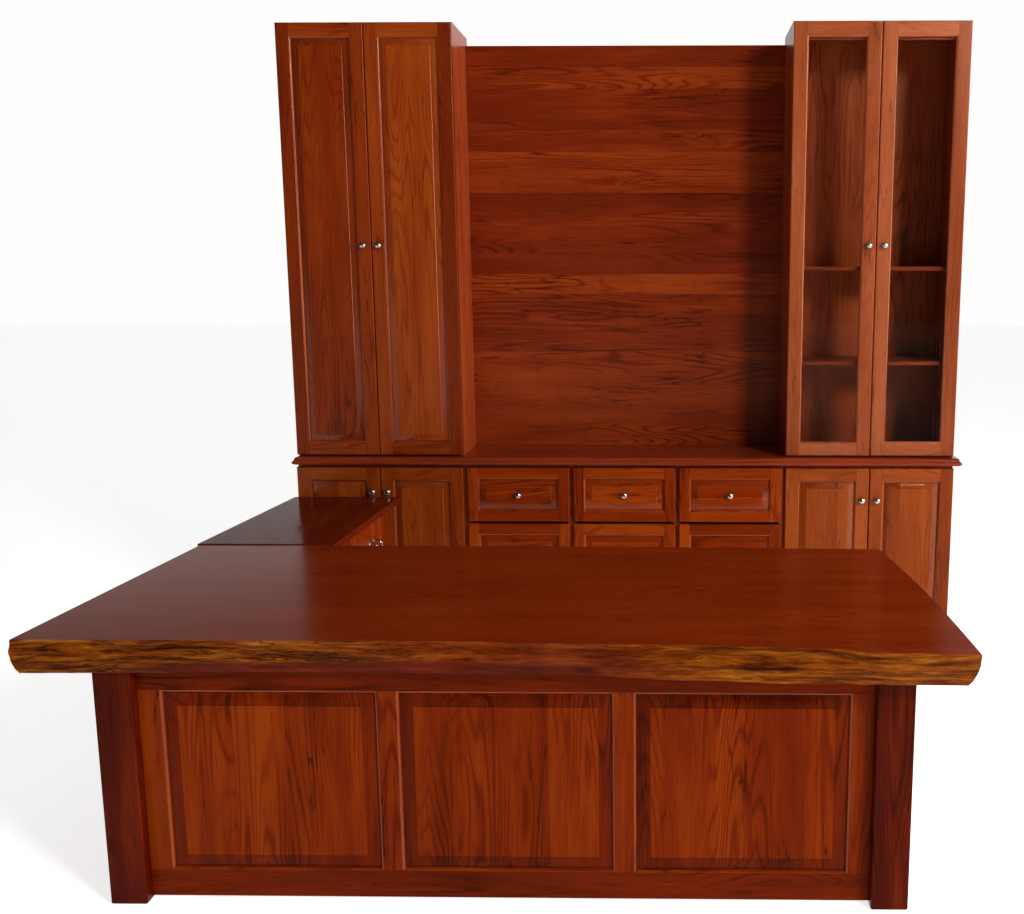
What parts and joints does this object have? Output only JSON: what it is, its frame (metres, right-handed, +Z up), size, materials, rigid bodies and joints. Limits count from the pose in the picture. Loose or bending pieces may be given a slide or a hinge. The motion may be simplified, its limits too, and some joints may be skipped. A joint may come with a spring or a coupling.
{
  "type": "executive desk and wall unit suite",
  "caption": "Executive office suite in red hardwood: live-edge slab desk with drawers and a side return, and a tall wall unit with drawers, cupboards, plank-backed niche and glazed cabinet.",
  "frame": {"origin": "bottom centre of the whole suite's box, on the floor", "axes": "+Z up, +Y from the desk towards the wall behind the wall unit, +X to the right for someone who stands in front of the desk and faces the wall unit"},
  "size_m": [2.9936, 2.2764, 2.722],
  "materials": {
    "slab_wood": "gloss lacquer over red hardwood, live edge left rough",
    "door_wood": "semi-gloss lacquer over red hardwood",
    "display_door_wood": "semi-gloss lacquer over paler red hardwood",
    "case_wood": "semi-gloss lacquer over red hardwood",
    "plank_wood": "semi-gloss lacquer over jointed red hardwood planks",
    "desk_panel_wood": "gloss lacquer over dark red hardwood",
    "post_wood": "gloss lacquer over near-black red hardwood",
    "polished_steel": "polished",
    "clear_glass": "clear float glass"
  },
  "bodies": {
    "suite": {"base_cabinet_left": "case_wood", "base_cabinet_right": "case_wood", "base_drawer_cabinet": "case_wood", "base_plinth": "case_wood", "counter_top": "slab_wood", "desk_front_frame": "desk_panel_wood", "desk_front_panel_left": "desk_panel_wood", "desk_front_panel_middle": "desk_panel_wood", "desk_front_panel_right": "desk_panel_wood", "desk_pedestal": "case_wood", "desk_post_front_left": "post_wood", "desk_post_front_right": "post_wood", "desk_post_rear_left": "post_wood", "desk_post_rear_right": "post_wood", "desk_rear_apron": "desk_panel_wood", "desk_side_panel_left": "desk_panel_wood", "desk_side_panel_right": "desk_panel_wood", "desk_slab_top": "slab_wood", "display_cabinet": "case_wood", "display_shelf_1": "case_wood", "display_shelf_2": "case_wood", "hutch_cabinet": "case_wood", "niche_back_panel": "plank_wood", "return_back_panel": "case_wood", "return_cabinet": "case_wood", "return_top": "slab_wood"},
    "drawer_row1_column1": {"drawer_row1_column1": "door_wood"},
    "drawer_row1_column2": {"drawer_row1_column2": "door_wood"},
    "drawer_row1_column3": {"drawer_row1_column3": "door_wood"},
    "drawer_row2_column1": {"drawer_row2_column1": "door_wood"},
    "drawer_row2_column2": {"drawer_row2_column2": "door_wood"},
    "drawer_row2_column3": {"drawer_row2_column3": "door_wood"},
    "drawer_row3_column1": {"drawer_row3_column1": "door_wood"},
    "drawer_row3_column2": {"drawer_row3_column2": "door_wood"},
    "drawer_row3_column3": {"drawer_row3_column3": "door_wood"},
    "desk_drawer_top": {"desk_drawer_top": "door_wood"},
    "desk_drawer_middle": {"desk_drawer_middle": "door_wood"},
    "desk_drawer_bottom": {"desk_drawer_bottom": "door_wood"},
    "base_door_a_left": {"base_door_a_left": "door_wood", "base_door_a_left_knob": "polished_steel"},
    "base_door_a_right": {"base_door_a_right": "door_wood", "base_door_a_right_knob": "polished_steel"},
    "base_door_b_left": {"base_door_b_left": "door_wood", "base_door_b_left_knob": "polished_steel"},
    "base_door_b_right": {"base_door_b_right": "door_wood", "base_door_b_right_knob": "polished_steel"},
    "hutch_door_left": {"hutch_door_left": "door_wood", "hutch_door_left_knob": "polished_steel"},
    "hutch_door_right": {"hutch_door_right": "door_wood", "hutch_door_right_knob": "polished_steel"},
    "display_door_left": {"display_door_left": "display_door_wood", "display_door_left_knob": "polished_steel", "display_door_left_glass": "clear_glass"},
    "display_door_right": {"display_door_right": "display_door_wood", "display_door_right_knob": "polished_steel", "display_door_right_glass": "clear_glass"},
    "return_door_near": {"return_door_near": "door_wood", "return_pull_near": "polished_steel"},
    "return_door_far": {"return_door_far": "door_wood", "return_pull_far": "polished_steel"}
  },
  "joints": [
    {"name": "drawer_row1_column1_slide", "type": "slide", "parent": "suite", "child": "drawer_row1_column1", "axis": [0, -1, 0], "range_m": [0, 0.25]},
    {"name": "drawer_row1_column2_slide", "type": "slide", "parent": "suite", "child": "drawer_row1_column2", "axis": [0, -1, 0], "range_m": [0, 0.25]},
    {"name": "drawer_row1_column3_slide", "type": "slide", "parent": "suite", "child": "drawer_row1_column3", "axis": [0, -1, 0], "range_m": [0, 0.25]},
    {"name": "drawer_row2_column1_slide", "type": "slide", "parent": "suite", "child": "drawer_row2_column1", "axis": [0, -1, 0], "range_m": [0, 0.25]},
    {"name": "drawer_row2_column2_slide", "type": "slide", "parent": "suite", "child": "drawer_row2_column2", "axis": [0, -1, 0], "range_m": [0, 0.25]},
    {"name": "drawer_row2_column3_slide", "type": "slide", "parent": "suite", "child": "drawer_row2_column3", "axis": [0, -1, 0], "range_m": [0, 0.25]},
    {"name": "drawer_row3_column1_slide", "type": "slide", "parent": "suite", "child": "drawer_row3_column1", "axis": [0, -1, 0], "range_m": [0, 0.25]},
    {"name": "drawer_row3_column2_slide", "type": "slide", "parent": "suite", "child": "drawer_row3_column2", "axis": [0, -1, 0], "range_m": [0, 0.25]},
    {"name": "drawer_row3_column3_slide", "type": "slide", "parent": "suite", "child": "drawer_row3_column3", "axis": [0, -1, 0], "range_m": [0, 0.25]},
    {"name": "desk_drawer_top_slide", "type": "slide", "parent": "suite", "child": "desk_drawer_top", "axis": [0, 1, 0], "range_m": [0, 0.4]},
    {"name": "desk_drawer_middle_slide", "type": "slide", "parent": "suite", "child": "desk_drawer_middle", "axis": [0, 1, 0], "range_m": [0, 0.4]},
    {"name": "desk_drawer_bottom_slide", "type": "slide", "parent": "suite", "child": "desk_drawer_bottom", "axis": [0, 1, 0], "range_m": [0, 0.4]},
    {"name": "base_door_a_left_hinge", "type": "hinge", "parent": "suite", "child": "base_door_a_left", "pos_m": [-1.3614, 0.77422, 0.514], "axis": [0, 0, -1], "range_deg": [0, 5]},
    {"name": "base_door_a_right_hinge", "type": "hinge", "parent": "suite", "child": "base_door_a_right", "pos_m": [-0.6414, 0.77422, 0.514], "axis": [0, 0, 1], "range_deg": [0, 5]},
    {"name": "base_door_b_left_hinge", "type": "hinge", "parent": "suite", "child": "base_door_b_left", "pos_m": [0.7498, 0.77422, 0.514], "axis": [0, 0, -1], "range_deg": [0, 90]},
    {"name": "base_door_b_right_hinge", "type": "hinge", "parent": "suite", "child": "base_door_b_right", "pos_m": [1.4698, 0.77422, 0.514], "axis": [0, 0, 1], "range_deg": [0, 105]},
    {"name": "hutch_door_left_hinge", "type": "hinge", "parent": "suite", "child": "hutch_door_left", "pos_m": [-1.3614, 0.78922, 1.82615], "axis": [0, 0, -1], "range_deg": [0, 105]},
    {"name": "hutch_door_right_hinge", "type": "hinge", "parent": "suite", "child": "hutch_door_right", "pos_m": [-0.6414, 0.78922, 1.82615], "axis": [0, 0, 1], "range_deg": [0, 105]},
    {"name": "display_door_left_hinge", "type": "hinge", "parent": "suite", "child": "display_door_left", "pos_m": [0.7498, 0.78922, 1.82615], "axis": [0, 0, -1], "range_deg": [0, 105]},
    {"name": "display_door_right_hinge", "type": "hinge", "parent": "suite", "child": "display_door_right", "pos_m": [1.4698, 0.78922, 1.82615], "axis": [0, 0, 1], "range_deg": [0, 105]},
    {"name": "return_door_near_hinge", "type": "hinge", "parent": "suite", "child": "return_door_near", "pos_m": [-0.9554, 0.17922, 0.39985], "axis": [0, 0, -1], "range_deg": [0, 100]},
    {"name": "return_door_far_hinge", "type": "hinge", "parent": "suite", "child": "return_door_far", "pos_m": [-0.9554, 0.72322, 0.39985], "axis": [0, 0, 1], "range_deg": [0, 90]}
  ]
}
